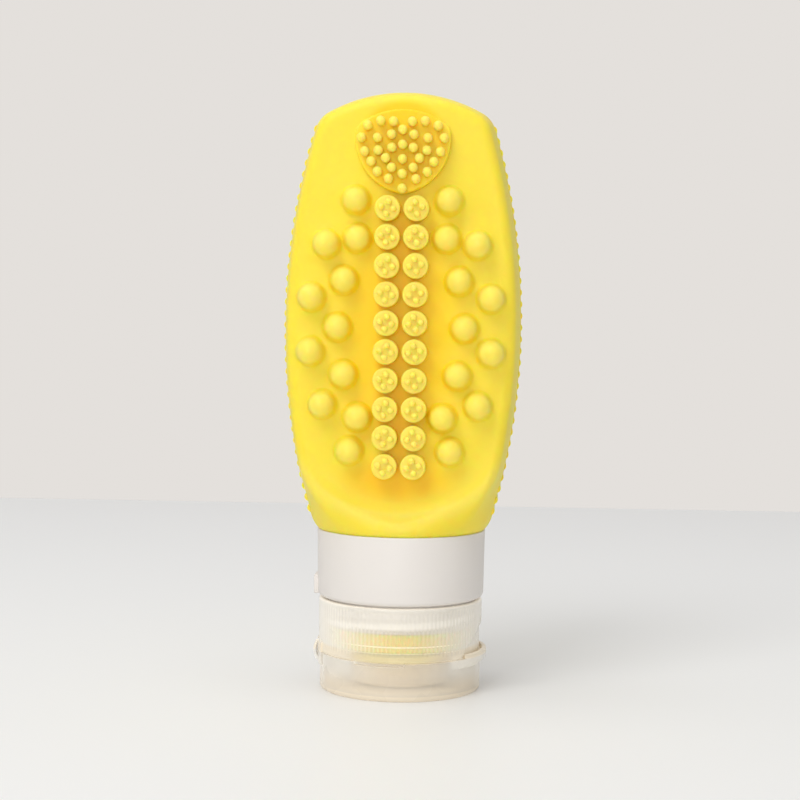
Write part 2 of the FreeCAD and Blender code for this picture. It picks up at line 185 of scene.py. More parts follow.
def addSurface(tree, shader, mottle, grain, finish):
    tree.links.new(addSpan(tree, mottle, *finish["roughness"]), shader.inputs["Roughness"])
    bump = tree.nodes.new("ShaderNodeBump")
    bump.inputs["Strength"].default_value, bump.inputs["Distance"].default_value = finish["bump"]
    tree.links.new(grain, bump.inputs["Height"])
    tree.links.new(bump.outputs["Normal"], shader.inputs["Normal"])


def toned(colour, share):
    return tuple(share * part for part in colour)


siliconeFinish = {
    "side": (0.9, 0.725, 0.055),
    "field": (0.95, 0.66, 0.006),  # painted shade: deeper orange between the discs and nubs, standing in for their shade and the light bounced between them
    # painted shade: orange in the narrow valley between the disc columns
    "valley": (1.0, 0.66, 0.002),
    "hollow": (0.92, 0.59, 0.003),  # painted shade in the recess above the ledge, under the lowest discs and nubs
    # painted highlight: paler tops of the discs, bristles and nubs, and a band along the ledge
    "paintedHighlight": (0.91, 0.765, 0.13),
    "lip": (0.93, 0.76, 0.08),  # the sealing lip inside the cap, painted paler and more lemon to make up for the cap's shade
    "cloudTone": 1.03,  # how much paler the clouds in the resin are
    "cloudSpan": (0.2, 0.8),
    "grain": (45.0, 2400.0),  # scales of the clouds and of the mould's grain
    "roughness": (0.42, 0.52),
    "bump": (0.12, 0.03 * mm),  # strength and height
    "scatter": (1.0, 0.4, 0.08),
    "scatterDepth": 1.2 * mm,
    "gloss": 0.27,
    "panelDepth": 16.2 * mm,  # where the front panel starts above the shoulder
    "panelLevel": 57.0 * mm,
    "panelLean": math.radians(2.446),
    "frontHeights": (-3.0 * mm, -1.0 * mm),  # these heights are above the panel
    "fieldHeights": (1.0 * mm, 4.5 * mm),
    "discHeights": (2.4 * mm, 4.0 * mm),  # between which the painted highlight comes in
    "bristleHeights": (2.3 * mm, 4.4 * mm),
    "nubHeights": (1.6 * mm, 4.2 * mm),
    "nubShare": 0.8,
    # painted highlight: a pale band along the U-shaped ledge, strongest at its low end
    "ledgeFade": (52.0 * mm, 58.0 * mm),
    "ledgeShare": 0.6,
    "frontFade": (-12.0 * mm, -9.0 * mm),
    "lipFade": (17.0 * mm, 19.0 * mm),
    "zones": {  # level of the middle, half width, half height, start and end of the fade
        "discs": (84.0 * mm, 6.5 * mm, 60.0 * mm, 0.97, 1.0),
        "pad": (128.0 * mm, 11.5 * mm, 11.5 * mm, 0.8, 1.0),
        "field": (86.0 * mm, 19.0 * mm, 40.0 * mm, 0.3, 1.0),
        "hollow": (51.0 * mm, 17.0 * mm, 7.0 * mm, 0.3, 1.0),
        "ledgeInside": (58.0 * mm, 22.6 * mm, 14.5 * mm, 0.94, 1.02),
        "ledgeWhole": (58.0 * mm, 22.6 * mm, 14.5 * mm, 1.06, 1.25),
        "valley": (85.0 * mm, 6.4 * mm, 36.0 * mm, 0.7, 1.0),
    },
}


def siliconeMaterial():
    finish = siliconeFinish
    material, tree, shader = startMaterial("yellowSilicone")
    mottle, grain = addGrain(tree, *finish["grain"])
    axes = addAxes(tree)
    lean = finish["panelLean"]
    outward = Vector((0, -math.cos(lean), math.sin(lean)))
    panel = outward.dot(Vector((0, -finish["panelDepth"], finish["panelLevel"])))
    height = addVector(tree, "DOT_PRODUCT", addPlace(tree), outward)

    def abovePanel(name, first, last):
        low, high = finish[name]
        return addFade(tree, height, panel + low, panel + high, first, last)

    onFront = abovePanel("frontHeights", 0.0, 1.0)
    lowDown = abovePanel("fieldHeights", 1.0, 0.0)
    discTop = abovePanel("discHeights", 0.0, 1.0)
    bristleTop = abovePanel("bristleHeights", 0.0, 1.0)
    nubTop = abovePanel("nubHeights", 0.0, finish["nubShare"])
    frontHalf = addFade(tree, axes["Y"], *finish["frontFade"], 1.0, 0.0)
    ledgeLow = addFade(tree, axes["Z"], *finish["ledgeFade"], finish["ledgeShare"], 0.0)
    # painted light on the sealing lip, in the cap's shade
    lip = addFade(tree, axes["Z"], *finish["lipFade"], 1.0, 0.0)
    zones = {name: addZone(tree, *zone) for name, zone in finish["zones"].items()}
    discs, pad = zones["discs"], zones["pad"]
    # painted shade: deeper orange in the field between the discs and nubs
    field = addMath(tree, "MULTIPLY", addMath(tree, "MAXIMUM", zones["field"], pad), onFront,
                    addMath(tree, "MAXIMUM", lowDown, pad))
    # painted shade in the valley between the disc columns
    valley = addMath(tree, "MULTIPLY", zones["valley"], onFront)
    # painted shade in the recess above the ledge
    hollow = addMath(tree, "MULTIPLY", zones["hollow"], lowDown, frontHalf)
    # painted highlight along the ledge
    ledge = addMath(tree, "SUBTRACT", zones["ledgeWhole"], zones["ledgeInside"])
    ledge = addMath(tree, "MULTIPLY", ledge, ledgeLow, frontHalf)
    # painted highlight on the tops of the discs, bristles and nubs
    litTips = addMath(tree, "MULTIPLY", addMath(tree, "MAXIMUM", discs, pad),
                   addMix(tree, pad, discTop, bristleTop, "FLOAT"))
    nubs = addMath(tree, "MULTIPLY", nubTop, addSpan(tree, discs, 1.0, 0.0))
    litTips = addMath(tree, "MAXIMUM", litTips, nubs)

    clouds = addSpan(tree, mottle, *finish["cloudSpan"])
    colour = addMix(tree, clouds, finish["side"], toned(finish["side"], finish["cloudTone"]))
    for share, name in ((field, "field"), (valley, "valley"), (hollow, "hollow"),
                        (ledge, "paintedHighlight"), (lip, "lip"), (litTips, "paintedHighlight")):
        colour = addMix(tree, share, colour, finish[name])
    tree.links.new(colour, shader.inputs["Base Color"])
    addSurface(tree, shader, mottle, grain, finish)
    shader.inputs["Subsurface Weight"].default_value = 1.0
    shader.inputs["Subsurface Radius"].default_value = finish["scatter"]
    shader.inputs["Subsurface Scale"].default_value = finish["scatterDepth"]
    shader.inputs["Specular IOR Level"].default_value = finish["gloss"]
    return material


whiteFinish = {
    "colours": ((0.76, 0.715, 0.67), (0.78, 0.74, 0.7)),  # clouds of the resin
    "grain": (70.0, 3000.0),
    "roughness": (0.38, 0.5),
    "bump": (0.1, 0.02 * mm),
}
valveFinish = {
    "colours": ((0.78, 0.78, 0.75), (0.84, 0.84, 0.82)),
    "grain": (120.0, 2600.0),
    "roughness": (0.35, 0.48),
    "bump": (0.1, 0.02 * mm),
}


def plainMaterial(name, finish):
    material, tree, shader = startMaterial(name)
    mottle, grain = addGrain(tree, *finish["grain"])
    tree.links.new(addMix(tree, mottle, *finish["colours"]), shader.inputs["Base Color"])
    addSurface(tree, shader, mottle, grain, finish)
    return material


clearFinish = {
    "thin": (0.95, 0.9, 0.8),
    "thick": (0.92, 0.8, 0.62),  # floor, where the light goes through more resin; also painted over the shade low on the lid's wall under the boss
    "deck": (0.94, 0.82, 0.62),
    "glow": (0.95, 0.83, 0.42),  # the silicone lip shines into the deck's front
    "boss": (0.95, 0.74, 0.43),
    "cloudTone": 0.97,
    "grain": (90.0, 2200.0),
    "roughness": (0.22, 0.34),
    "bump": (0.08, 0.02 * mm),
    "bending": 1.49,  # index of refraction
    "glowZone": (10.5 * mm, 13.0 * mm, 4.0 * mm, 0.4, 1.0),
    "bossFade": (12.1 * mm, 12.4 * mm),
    "floorFade": (1.2 * mm, 1.8 * mm),
    # painted light: tan and cover low on the lid's wall, over the shade under the boss
    "shadeFillFade": (2.0 * mm, 7.0 * mm),
    "shadeFillShare": 0.85,
    "capFade": (8.8 * mm, 9.3 * mm),  # lid below, cap above
    # the deck is thicker resin; its tan and cover fade out a millimetre above it, painted over the
    # shade in the corner under the lip
    "deckFade": (11.0 * mm, 12.0 * mm),
    "deckShare": 0.8,
    "wallCover": (0.34, 0.24),  # lid and cap, seen straight on
    "slantCover": (0.75, 0.97),  # a wall seen at a slant covers more
    "slantBlend": 0.86,
    "collarCover": 0.68,  # over the collar's spigot
    "collarFade": (15.6 * mm, 17.4 * mm),
    "lines": (11.35 * mm, 12.9 * mm),  # moulded steps inside the wall
    "lineHalf": 0.4 * mm,
    "lineCover": 0.8,
    "thickCover": 0.8,
    "bossCover": 0.85,
    "backCover": 0.05,
    "shadowShare": 0.3,  # milky resin passes most of the light on
    "rimFade": (21.2 * mm, 21.7 * mm),
    "rimShare": 0.14,  # painted glow standing in for light carried through the resin to the rim under the collar
}


def clearPlasticMaterial():
    finish = clearFinish
    material, tree, shader = startMaterial("clearPlastic")
    mottle, grain = addGrain(tree, *finish["grain"])
    level = addAxes(tree)["Z"]
    boss = addRound(tree, *finish["bossFade"])
    floor = addFade(tree, level, *finish["floorFade"], 1.0, 0.0)
    # painted light over the shade under the boss
    low = addFade(tree, level, *finish["shadeFillFade"], finish["shadeFillShare"], 0.0)
    thick = addMath(tree, "MAXIMUM", floor, low)
    onCap = addFade(tree, level, *finish["capFade"], 0.0, 1.0)
    deck = addMath(tree, "MULTIPLY", addSpan(tree, onCap, 0.0, finish["deckShare"]),
                   addFade(tree, level, *finish["deckFade"], 1.0, 0.0))

    colour = addMix(tree, mottle, finish["thin"], toned(finish["thin"], finish["cloudTone"]))
    colour = addMix(tree, boss, colour, finish["boss"])
    glow = addZone(tree, *finish["glowZone"])
    lit = addMix(tree, glow, finish["deck"], finish["glow"])
    colour = addMix(tree, deck, colour, lit)
    colour = addMix(tree, thick, colour, finish["thick"])
    tree.links.new(colour, shader.inputs["Base Color"])

    slant = tree.nodes.new("ShaderNodeLayerWeight")
    slant.inputs["Blend"].default_value = finish["slantBlend"]
    straight = addSpan(tree, onCap, *finish["wallCover"])
    slanted = addSpan(tree, onCap, *finish["slantCover"])
    covers = [
        addSpan(tree, addMath(tree, "MAXIMUM", thick, deck), 0.0, finish["thickCover"]),
        addSpan(tree, boss, 0.0, finish["bossCover"]),
        addFade(tree, level, *finish["collarFade"], 0.0, finish["collarCover"]),
        addMix(tree, slant.outputs["Facing"], straight, slanted, "FLOAT"),
    ]
    half = finish["lineHalf"]
    for middle in finish["lines"]:
        under = addFade(tree, level, middle - half, middle, 0.0, finish["lineCover"])
        over = addFade(tree, level, middle, middle + half, 1.0, 0.0)
        covers.append(addMath(tree, "MULTIPLY", under, over))
    sides = tree.nodes.new("ShaderNodeNewGeometry")
    cover = addMix(tree, sides.outputs["Backfacing"], addMath(tree, "MAXIMUM", *covers),
                   finish["backCover"], "FLOAT")
    rays = tree.nodes.new("ShaderNodeLightPath")
    passed = addSpan(tree, rays.outputs["Is Shadow Ray"], 1.0, finish["shadowShare"])
    tree.links.new(addMath(tree, "MULTIPLY", cover, passed), shader.inputs["Alpha"])

    addSurface(tree, shader, mottle, grain, finish)
    # painted glow on the rim under the collar
    rim = addFade(tree, level, *finish["rimFade"], 0.0, finish["rimShare"])
    tree.links.new(addMix(tree, rim, (0, 0, 0), finish["deck"]), shader.inputs["Emission Color"])
    shader.inputs["Emission Strength"].default_value = 1.0
    shader.inputs["IOR"].default_value = finish["bending"]
    return material


yellowSilicone = siliconeMaterial()
whitePlastic = plainMaterial("whitePlastic", whiteFinish)
clearPlastic = clearPlasticMaterial()
valveSilicone = plainMaterial("valveSilicone", valveFinish)
print("finishes ready:", ", ".join(material.name for material in bpy.data.materials))


# Mesh helpers

meshing = {
    "sharpAngle": math.radians(40),
    "roundSegments": 5,
    "merge": 0.001 * mm,
}


def meshPiece(name, bm, material, sharpAngle=meshing["sharpAngle"]):
    mesh = bpy.data.meshes.new(name)
    bm.to_mesh(mesh)
    bm.free()
    mesh.materials.clear()
    mesh.materials.append(material)
    mesh.shade_smooth()
    mesh.set_sharp_from_angle(angle=sharpAngle)
    piece = bpy.data.objects.new(name, mesh)
    bpy.context.scene.collection.objects.link(piece)
    print("  made", name, len(mesh.polygons), "faces")
    return piece


def seat(piece, body, slotName, *replaced):
    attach(piece, body)
    if replaced:
        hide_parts(*replaced)
    return piece


def addSection(bm, section, rounds):
    # a closed wire of (radius, height) corners, each with its own round
    before = set(bm.faces)
    corners = [bm.verts.new((radius, 0, height)) for radius, height in section]
    bm.faces.new(corners)
    for size in sorted(set(rounds) - {0}):
        soft = [corner for corner, own in zip(corners, rounds) if own == size]
        bmesh.ops.bevel(bm, geom=soft, offset=size, affect="VERTICES",
                        segments=meshing["roundSegments"], profile=0.5, material=-1)
    face = next(face for face in bm.faces if face not in before)
    verts, edges = face.verts[:], face.edges[:]
    bmesh.ops.delete(bm, geom=[face], context="FACES_ONLY")
    return verts, edges


def turnedShell(section, rounds, steps, wallRadius=None, wallCuts=0):
    bm = bmesh.new()
    addSection(bm, section, rounds)
    onAxis = [edge for edge in bm.edges if all(vert.co.x < hair for vert in edge.verts)]
    bmesh.ops.delete(bm, geom=onAxis, context="EDGES")
    if wallCuts:
        wall = [edge for edge in bm.edges
                if all(abs(vert.co.x - wallRadius) < hair for vert in edge.verts)]
        bmesh.ops.subdivide_edges(bm, edges=wall, cuts=wallCuts)
    bmesh.ops.spin(bm, geom=bm.verts[:] + bm.edges[:], cent=(0, 0, 0), axis=upAxis,
                   angle=2 * math.pi, steps=steps, use_merge=True)
    bmesh.ops.remove_doubles(bm, verts=bm.verts, dist=meshing["merge"])
    bmesh.ops.recalc_face_normals(bm, faces=bm.faces)
    return bm


def setRadius(vert, radius):
    flat = Vector((vert.co.x, vert.co.y, 0)).normalized() * radius
    vert.co = Vector((flat.x, flat.y, vert.co.z))


def angleOf(vert):
    return math.degrees(math.atan2(vert.co.y, vert.co.x)) % 360


def radiusOf(vert):
    return math.hypot(vert.co.x, vert.co.y)


def smoothShare(value, low, high):
    share = min(1.0, max(0.0, (value - low) / (high - low)))
    return share * share * (3 - 2 * share)


# Silicone body: a merged copy of the moulding, with the creases of ledge and outer nubs worn soft

siliconeBody = {
    "merge": 0.002 * mm,
    "sharpAngle": math.radians(50),
    "creaseAngle": math.radians(12),
    "creaseLean": 0.05,  # a face that turns further back isn't on the front
    "ledgeLevels": (40.4 * mm, 53.0 * mm),
    "ledgeHalfWidth": 22.0 * mm,
    "ledgeDepth": -11.0 * mm,
    "discFoot": (6.8 * mm, 50.8 * mm),  # half width and level where the discs start
    "ledgeSoftening": ((2.6 * mm, 2), (1.8 * mm, 6)),  # reach round the crease, passes
    "edgeWidths": (22.8 * mm, 25.4 * mm),  # outer feet of the nubs, at the panel's rounded edge
    "edgeLevels": (64.0 * mm, 108.0 * mm),
    "edgeDepth": -8.0 * mm,
    "edgeSoftening": ((1.0 * mm, 12),),
    "softFactor": 0.5,
    "widestNormal": math.radians(35),  # a corner further from its face takes the face's normal
}


def onLedge(place):
    size = siliconeBody
    low, high = size["ledgeLevels"]
    discHalf, discLevel = size["discFoot"]
    if abs(place.x) < discHalf and place.z > discLevel:
        return False
    inWidth = abs(place.x) < size["ledgeHalfWidth"]
    return inWidth and low < place.z < high and place.y < size["ledgeDepth"]


def onPanelEdge(place):
    size = siliconeBody
    near, far = size["edgeWidths"]
    low, high = size["edgeLevels"]
    return near < abs(place.x) < far and low < place.z < high and place.y < size["edgeDepth"]


def softenCreases(bm, inZone, softening):
    size = siliconeBody
    bm.normal_update()
    crease = []
    for edge in bm.edges:
        middle = (edge.verts[0].co + edge.verts[1].co) / 2
        outward = all(face.normal.y < size["creaseLean"] for face in edge.link_faces)
        if inZone(middle) and outward and edge.calc_face_angle(0) > size["creaseAngle"]:
            crease.append(middle)
    tree = KDTree(len(crease))
    for index, place in enumerate(crease):
        tree.insert(place, index)
    tree.balance()
    front = [vert for vert in bm.verts if inZone(vert.co) and vert.normal.y < 0]
    near = [(tree.find(vert.co)[2], vert) for vert in front]
    for reach, passes in softening:
        soft = [vert for far, vert in near if far < reach]
        for turn in range(passes):
            bmesh.ops.smooth_vert(bm, verts=soft, factor=size["softFactor"],
                                  use_axis_x=True, use_axis_y=True, use_axis_z=True)
    print("  softened along", len(crease), "edges")


def mendNormals(mesh):
    normals = []
    mended = 0
    for face in mesh.polygons:
        for loop in face.loop_indices:
            own = mesh.corner_normals[loop].vector
            wrong = own.angle(face.normal, 0) > siliconeBody["widestNormal"]
            normals.append(face.normal.copy() if wrong else own.copy())
            mended += wrong
    mesh.normals_split_custom_set(normals)
    print("  mended", mended, "normals")


def makeSiliconeBody():
    bm = bmesh.new()
    bm.from_mesh(cadNodes["bottle_body"].data)
    bmesh.ops.remove_doubles(bm, verts=bm.verts, dist=siliconeBody["merge"])
    softenCreases(bm, onLedge, siliconeBody["ledgeSoftening"])
    softenCreases(bm, onPanelEdge, siliconeBody["edgeSoftening"])
    bmesh.ops.recalc_face_normals(bm, faces=bm.faces)
    piece = meshPiece("silicone_body", bm, yellowSilicone, siliconeBody["sharpAngle"])
    mendNormals(piece.data)
    return seat(piece, "bottle", "yellow_silicone", "bottle_body")


# Neck collar with its index lug

neckCollar = {
    "bore": 14.5 * mm,
    "taper": 0.25 * mm,
    "outerWall": 1.8 * mm,
    "innerWall": 1.7 * mm,
    "web": 2.0 * mm,
    "spigot": 17.2 * mm,
    "spigotHeight": 6.9 * mm,
    "rounds": [size * mm for size in (0.2, 0.3, 0.25, 1.2, 0.3, 0.3, 0, 0, 0, 0)],  # by corner
    "lug": (6.0 * mm, 4.4 * mm, 0.6 * mm),  # width, height, reach
    "lugBase": 0.4 * mm,
    "lugRound": 0.3 * mm,
    "lugSegments": 3,
    "steps": 192,
}


def makeNeckCollar():
    size = neckCollar
    radius = collarHigh.y
    low = collarLow.z
    top = collarHigh.z
    ledge = low + size["spigotHeight"]
    floor = ledge + size["web"]
    bore, spigot = size["bore"], size["spigot"]
    groove = (bore + size["innerWall"], radius - size["outerWall"])
    bm = turnedShell((
        (bore, low), (spigot, low), (spigot, ledge), (radius - size["taper"], ledge), (radius, top),
        (groove[1], top), (groove[1], floor), (groove[0], floor), (groove[0], top), (bore, top),
    ), size["rounds"], size["steps"])
    width, height, reach = size["lug"]
    depth = size["outerWall"] / 2 + reach
    middle = Vector((-radius - reach + depth / 2, 0, ledge + size["lugBase"] + height / 2))
    place = Matrix.Translation(middle) @ Matrix.Diagonal((depth, width, height, 1))
    block = bmesh.ops.create_cube(bm, size=1, matrix=place)
    edges = {edge for vert in block["verts"] for edge in vert.link_edges}
    bmesh.ops.bevel(bm, geom=list(edges), offset=size["lugRound"], affect="EDGES",
                    segments=size["lugSegments"], profile=0.5, material=-1)
    piece = meshPiece("neck_collar_shell", bm, whitePlastic)
    return seat(piece, "bottle", "white_plastic", "neck_collar")


# Screw thread: one ridge on the collar's spigot and one inside the cap, about half a pitch apart

screwThread = {
    "pitch": 4.2 * mm,
    "turns": 1.4,
    "ridge": 0.62 * mm,
    "root": 1.3 * mm,
    "crest": 0.5 * mm,
    "sink": 0.15 * mm,
    "runOut": 0.12,  # share of the ridge that fades at each end
    "start": 0.9 * mm,  # above the spigot's end
    "capShift": 0.2 * mm,
    "steps": 180,
}


def threadRidge(name, radius, outward, startLevel, material):
    size = screwThread
    bm = bmesh.new()
    inner = radius - outward * size["sink"]
    outer = radius + outward * size["ridge"]
    root, crest = size["root"] / 2, size["crest"] / 2
    section = ((inner, -root), (outer, -crest), (outer, crest), (inner, root))
    corners = [bm.verts.new((across, 0, startLevel + rise)) for across, rise in section]
    loop = [bm.edges.new((corners[index - 1], corners[index])) for index in range(len(corners))]
    climb = size["pitch"] * size["turns"]
    bmesh.ops.spin(bm, geom=corners + loop, cent=(0, 0, 0), axis=upAxis,
                   angle=2 * math.pi * size["turns"], steps=size["steps"],
                   dvec=(0, 0, climb / size["steps"]))
    ends = [edge for edge in bm.edges if edge.is_boundary]
    bmesh.ops.holes_fill(bm, edges=ends, sides=len(corners))
    for vert in bm.verts:
        turn = math.radians(angleOf(vert)) / (2 * math.pi)
        along = (vert.co.z - startLevel) / size["pitch"]
        share = (round(along - turn) + turn) / size["turns"]
        fade = smoothShare(share, 0, size["runOut"]) * smoothShare(1 - share, 0, size["runOut"])
        setRadius(vert, inner + (radiusOf(vert) - inner) * fade)
    bmesh.ops.recalc_face_normals(bm, faces=bm.faces)
    return meshPiece(name, bm, material)


# Screw cap

screwCap = {
    "bore": 18.2 * mm,
    "floor": 9.2 * mm,
    "deck": 1.8 * mm,
    "bossRadius": 11.9 * mm,
    "bossWall": 1.2 * mm,
    "bossPlate": 1.2 * mm,
    "orifice": 4.6 * mm,
    "rounds": [size * mm for size in (0.3, 0.8, 0.5, 0.25, 0.6, 0.2, 0.9, 0.3, 0.4, 0.2)],
    "ribs": 120,
    "ribDepth": 0.08 * mm,
    "ribLow": 10.4 * mm,
    "ribHigh": 21.0 * mm,
    "ribFade": 0.35 * mm,
    "hingePad": (22.0, 23.0),  # degrees each side of the hinge, where the ribs start and are full
    "wallSkin": 0.01 * mm,
    "scoopDepth": 0.5 * mm,
    "scoopHeight": 7.0 * mm,
    "scoopHalfWidth": 12.5 * mm,
    "tongue": (239.0, 276.0),  # degrees
    "tongueDrop": 0.75 * mm,
    "tongueWidth": 1.2 * mm,  # inwards from the lid's wall
    "steps": 480,
    "wallRows": 46,
}


def makeScrewCap():
    size = screwCap
    radius = capHigh.y
    low, top = capLow.z, capHigh.z
    floor, boss, bore, orifice = size["floor"], size["bossRadius"], size["bore"], size["orifice"]
    bossBore = boss - size["bossWall"]
    inside = low + size["bossPlate"]
    deckTop = floor + size["deck"]
    bm = turnedShell((
        (orifice, low), (boss, low), (boss, floor), (radius, floor), (radius, top), (bore, top),
        (bore, deckTop), (bossBore, deckTop), (bossBore, inside), (orifice, inside),
    ), size["rounds"], size["steps"], radius, size["wallRows"])
    arch = (size["scoopHalfWidth"] ** 2 + size["scoopHeight"] ** 2) / (2 * size["scoopHeight"])
    archLevel = floor + size["scoopHeight"] - arch
    start, end = size["tongue"]
    for vert in bm.verts:
        angle = angleOf(vert)
        if radiusOf(vert) > radius - size["wallSkin"]:
            band = smoothShare(vert.co.z, size["ribLow"], size["ribLow"] + size["ribFade"])
            band *= smoothShare(-vert.co.z, -size["ribHigh"], size["ribFade"] - size["ribHigh"])
            band *= smoothShare(abs(angle - 180), *size["hingePad"])
            wave = 0.5 - 0.5 * math.cos(math.radians(angle) * size["ribs"])
            inArch = arch - math.hypot(vert.co.y, vert.co.z - archLevel) if vert.co.x > 0 else -1
            scoop = size["scoopDepth"] * smoothShare(inArch, 0, size["ribFade"])
            setRadius(vert, radius - max(scoop, size["ribDepth"] * band * wave))
        underLid = vert.co.z < floor + hair and radiusOf(vert) > lidHigh.y - size["tongueWidth"]
        if start < angle < end and underLid:
            vert.co.z -= size["tongueDrop"]
    return seat(meshPiece("screw_cap", bm, clearPlastic), "cap", "clear_plastic", "cap_base")


# Flip lid with its thumb tab

flipLid = {
    "wall": 1.1 * mm,
    "floor": 1.4 * mm,
    "padRadius": 3.9 * mm,
    "padHeight": 0.8 * mm,
    "rounds": [size * mm for size in (0, 1.0, 0.22, 0.22, 0.7, 0.2, 0.3, 0)],
    "notch": (239.0, 276.0),  # degrees, where the cap's tongue sits
    "notchDepth": 0.75 * mm,
    "notchEdge": 0.3 * mm,
    "tabRise": 1.2 * mm,
    "tabDrop": 2.0 * mm,
    "tabReach": 1.5 * mm,
    "tabInset": 3.15 * mm,
    "tabSlope": 1.0 * mm,
    "tabRounds": [size * mm for size in (0, 0.4, 0.4, 0.4, 0.25, 0, 0)],
    "tabSweep": math.radians(94.0),
    "tabSteps": 60,
    "capClear": 0.1 * mm,
    "steps": 288,
    "wallRows": 12,
}


def makeFlipLid():
    size = flipLid
    radius = lidHigh.y
    top = lidHigh.z - size["tabRise"]
    bore = radius - size["wall"]
    floor, pad = size["floor"], size["padRadius"]
    padTop = floor + size["padHeight"]
    bm = turnedShell((
        (0, 0), (radius, 0), (radius, top), (bore, top), (bore, floor),
        (pad, floor), (pad, padTop), (0, padTop),
    ), size["rounds"], size["steps"], radius, size["wallRows"])
    start, end = size["notch"]
    for vert in bm.verts:
        if start <= angleOf(vert) <= end and vert.co.z > top - size["notchEdge"]:
            vert.co.z -= size["notchDepth"]
    addThumbTab(bm, radius, top)
    return seat(meshPiece("flip_lid_cup", bm, clearPlastic), "lid", "clear_plastic", "flip_lid")


def addThumbTab(bm, radius, top):
    size = flipLid
    low = top - size["tabDrop"]
    high = top + size["tabRise"]
    wall = radius - size["wall"] / 2
    lip = capHigh.y + size["capClear"]
    full = radius + size["tabReach"]
    slope, sweep = size["tabSlope"], size["tabSweep"]
    before = set(bm.faces)
    verts, edges = addSection(bm, (
        (wall, low), (full - slope, low), (full, low + slope), (full, high),
        (lip, high), (lip, top), (wall, top),
    ), size["tabRounds"])
    bmesh.ops.rotate(bm, verts=verts, matrix=Matrix.Rotation(-sweep / 2, 3, "Z"))
    bmesh.ops.spin(bm, geom=verts + edges, cent=(0, 0, 0), axis=upAxis, angle=sweep,
                   steps=size["tabSteps"])
    tab = [face for face in bm.faces if face not in before]
    ends = [edge for edge in bm.edges if edge.is_boundary]
    tab += bmesh.ops.holes_fill(bm, edges=ends, sides=0)["faces"]
    plate = radius - size["tabInset"]  # the tab is a round plate set off to one side
    middle = full - plate
    for vert in {vert for face in tab for vert in face.verts}:
        turn = math.atan2(vert.co.y, vert.co.x)
        own = radiusOf(vert)
        reach = middle * math.cos(turn) + math.sqrt(plate ** 2 - (middle * math.sin(turn)) ** 2)
        share = max(0.0, (own - lip) / (full - lip))
        outer = lip + share * (reach - lip) if reach > lip else reach
        setRadius(vert, max(wall, outer if own > lip - hair else min(own, reach)))
    bmesh.ops.recalc_face_normals(bm, faces=tab)


# Moulded hinge: a bowed strap between two straight webs

mouldedHinge = {
    "strapThickness": 0.55 * mm,
    "strapCuts": 7,
    "strapSteps": 24,
    "capGap": 0.02 * mm,
    "lidGap": 0.1 * mm,
    "webThickness": 0.45 * mm,
    "webGap": 0.05 * mm,
    "webAngles": (159.0, 192.0),  # where each web starts
    "webSweep": 9.0,
    "webCuts": 11,
    "webSteps": 6,
}


def circleThrough(first, second, third):
    # centre of the circle through three points in the XZ plane
    ax, az, bx, bz, cx, cz = first.x, first.z, second.x, second.z, third.x, third.z
    scale = 2 * (ax * (bz - cz) + bx * (cz - az) + cx * (az - bz))
    a2, b2, c2 = ax * ax + az * az, bx * bx + bz * bz, cx * cx + cz * cz
    x = (a2 * (bz - cz) + b2 * (cz - az) + c2 * (az - bz)) / scale
    z = (a2 * (cx - bx) + b2 * (ax - cx) + c2 * (bx - ax)) / scale
    return Vector((x, 0, z))


def thicken(bm, thickness):
    bmesh.ops.recalc_face_normals(bm, faces=bm.faces)
    bmesh.ops.solidify(bm, geom=bm.faces[:], thickness=thickness)
    bmesh.ops.recalc_face_normals(bm, faces=bm.faces)


def bendBetween(piece, node):
    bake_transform(piece)
    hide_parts(node)


def makeHingeStrap():
    size = mouldedHinge
    half = strapHigh.y
    thick = size["strapThickness"]
    high = Vector((-capHigh.y - size["capGap"], 0, strapHigh.z))
    bend = Vector((strapLow.x + thick / 2, 0, screwCap["floor"]))
    low = Vector((-lidHigh.y - size["lidGap"], 0, strapLow.z))
    centre = circleThrough(high, bend, low)
    sweep = (high - centre).angle(bend - centre) + (bend - centre).angle(low - centre)
    bm = bmesh.new()
    rim = bm.edges.new([bm.verts.new((high.x, side * half, high.z)) for side in (-1, 1)])
    bmesh.ops.subdivide_edges(bm, edges=[rim], cuts=size["strapCuts"])
    bmesh.ops.spin(bm, geom=bm.verts[:] + bm.edges[:], cent=centre, axis=(0, -1, 0), angle=sweep,
                   steps=size["strapSteps"])
    thicken(bm, thick)
    bendBetween(meshPiece("hinge_bow", bm, clearPlastic), "hinge_strap")


def makeHingeWebs():
    size = mouldedHinge
    thick = size["webThickness"]
    middle = capHigh.y + size["webGap"] + thick / 2
    bm = bmesh.new()
    for start in size["webAngles"]:
        turn = Matrix.Rotation(math.radians(start), 3, "Z")
        ends = [turn @ Vector((middle, 0, level)) for level in (websLow.z, websHigh.z)]
        rim = bm.edges.new([bm.verts.new(end) for end in ends])
        bmesh.ops.subdivide_edges(bm, edges=[rim], cuts=size["webCuts"])
        line = [vert for vert in bm.verts if not vert.link_faces]
        line += [edge for edge in bm.edges if not edge.link_faces]
        bmesh.ops.spin(bm, geom=line, cent=(0, 0, 0), axis=upAxis,
                       angle=math.radians(size["webSweep"]), steps=size["webSteps"])
    thicken(bm, thick)
    bendBetween(meshPiece("hinge_side_webs", bm, clearPlastic), "hinge_webs")


def makeThreads():
    level = collarLow.z + screwThread["start"]
    ridge = threadRidge("collar_thread", neckCollar["spigot"], 1, level, whitePlastic)
    seat(ridge, "bottle", "white_plastic")
    level += screwThread["capShift"] - screwThread["pitch"] / 2
    ridge = threadRidge("cap_thread", screwCap["bore"], -1, level, clearPlastic)
    seat(ridge, "cap", "clear_plastic")


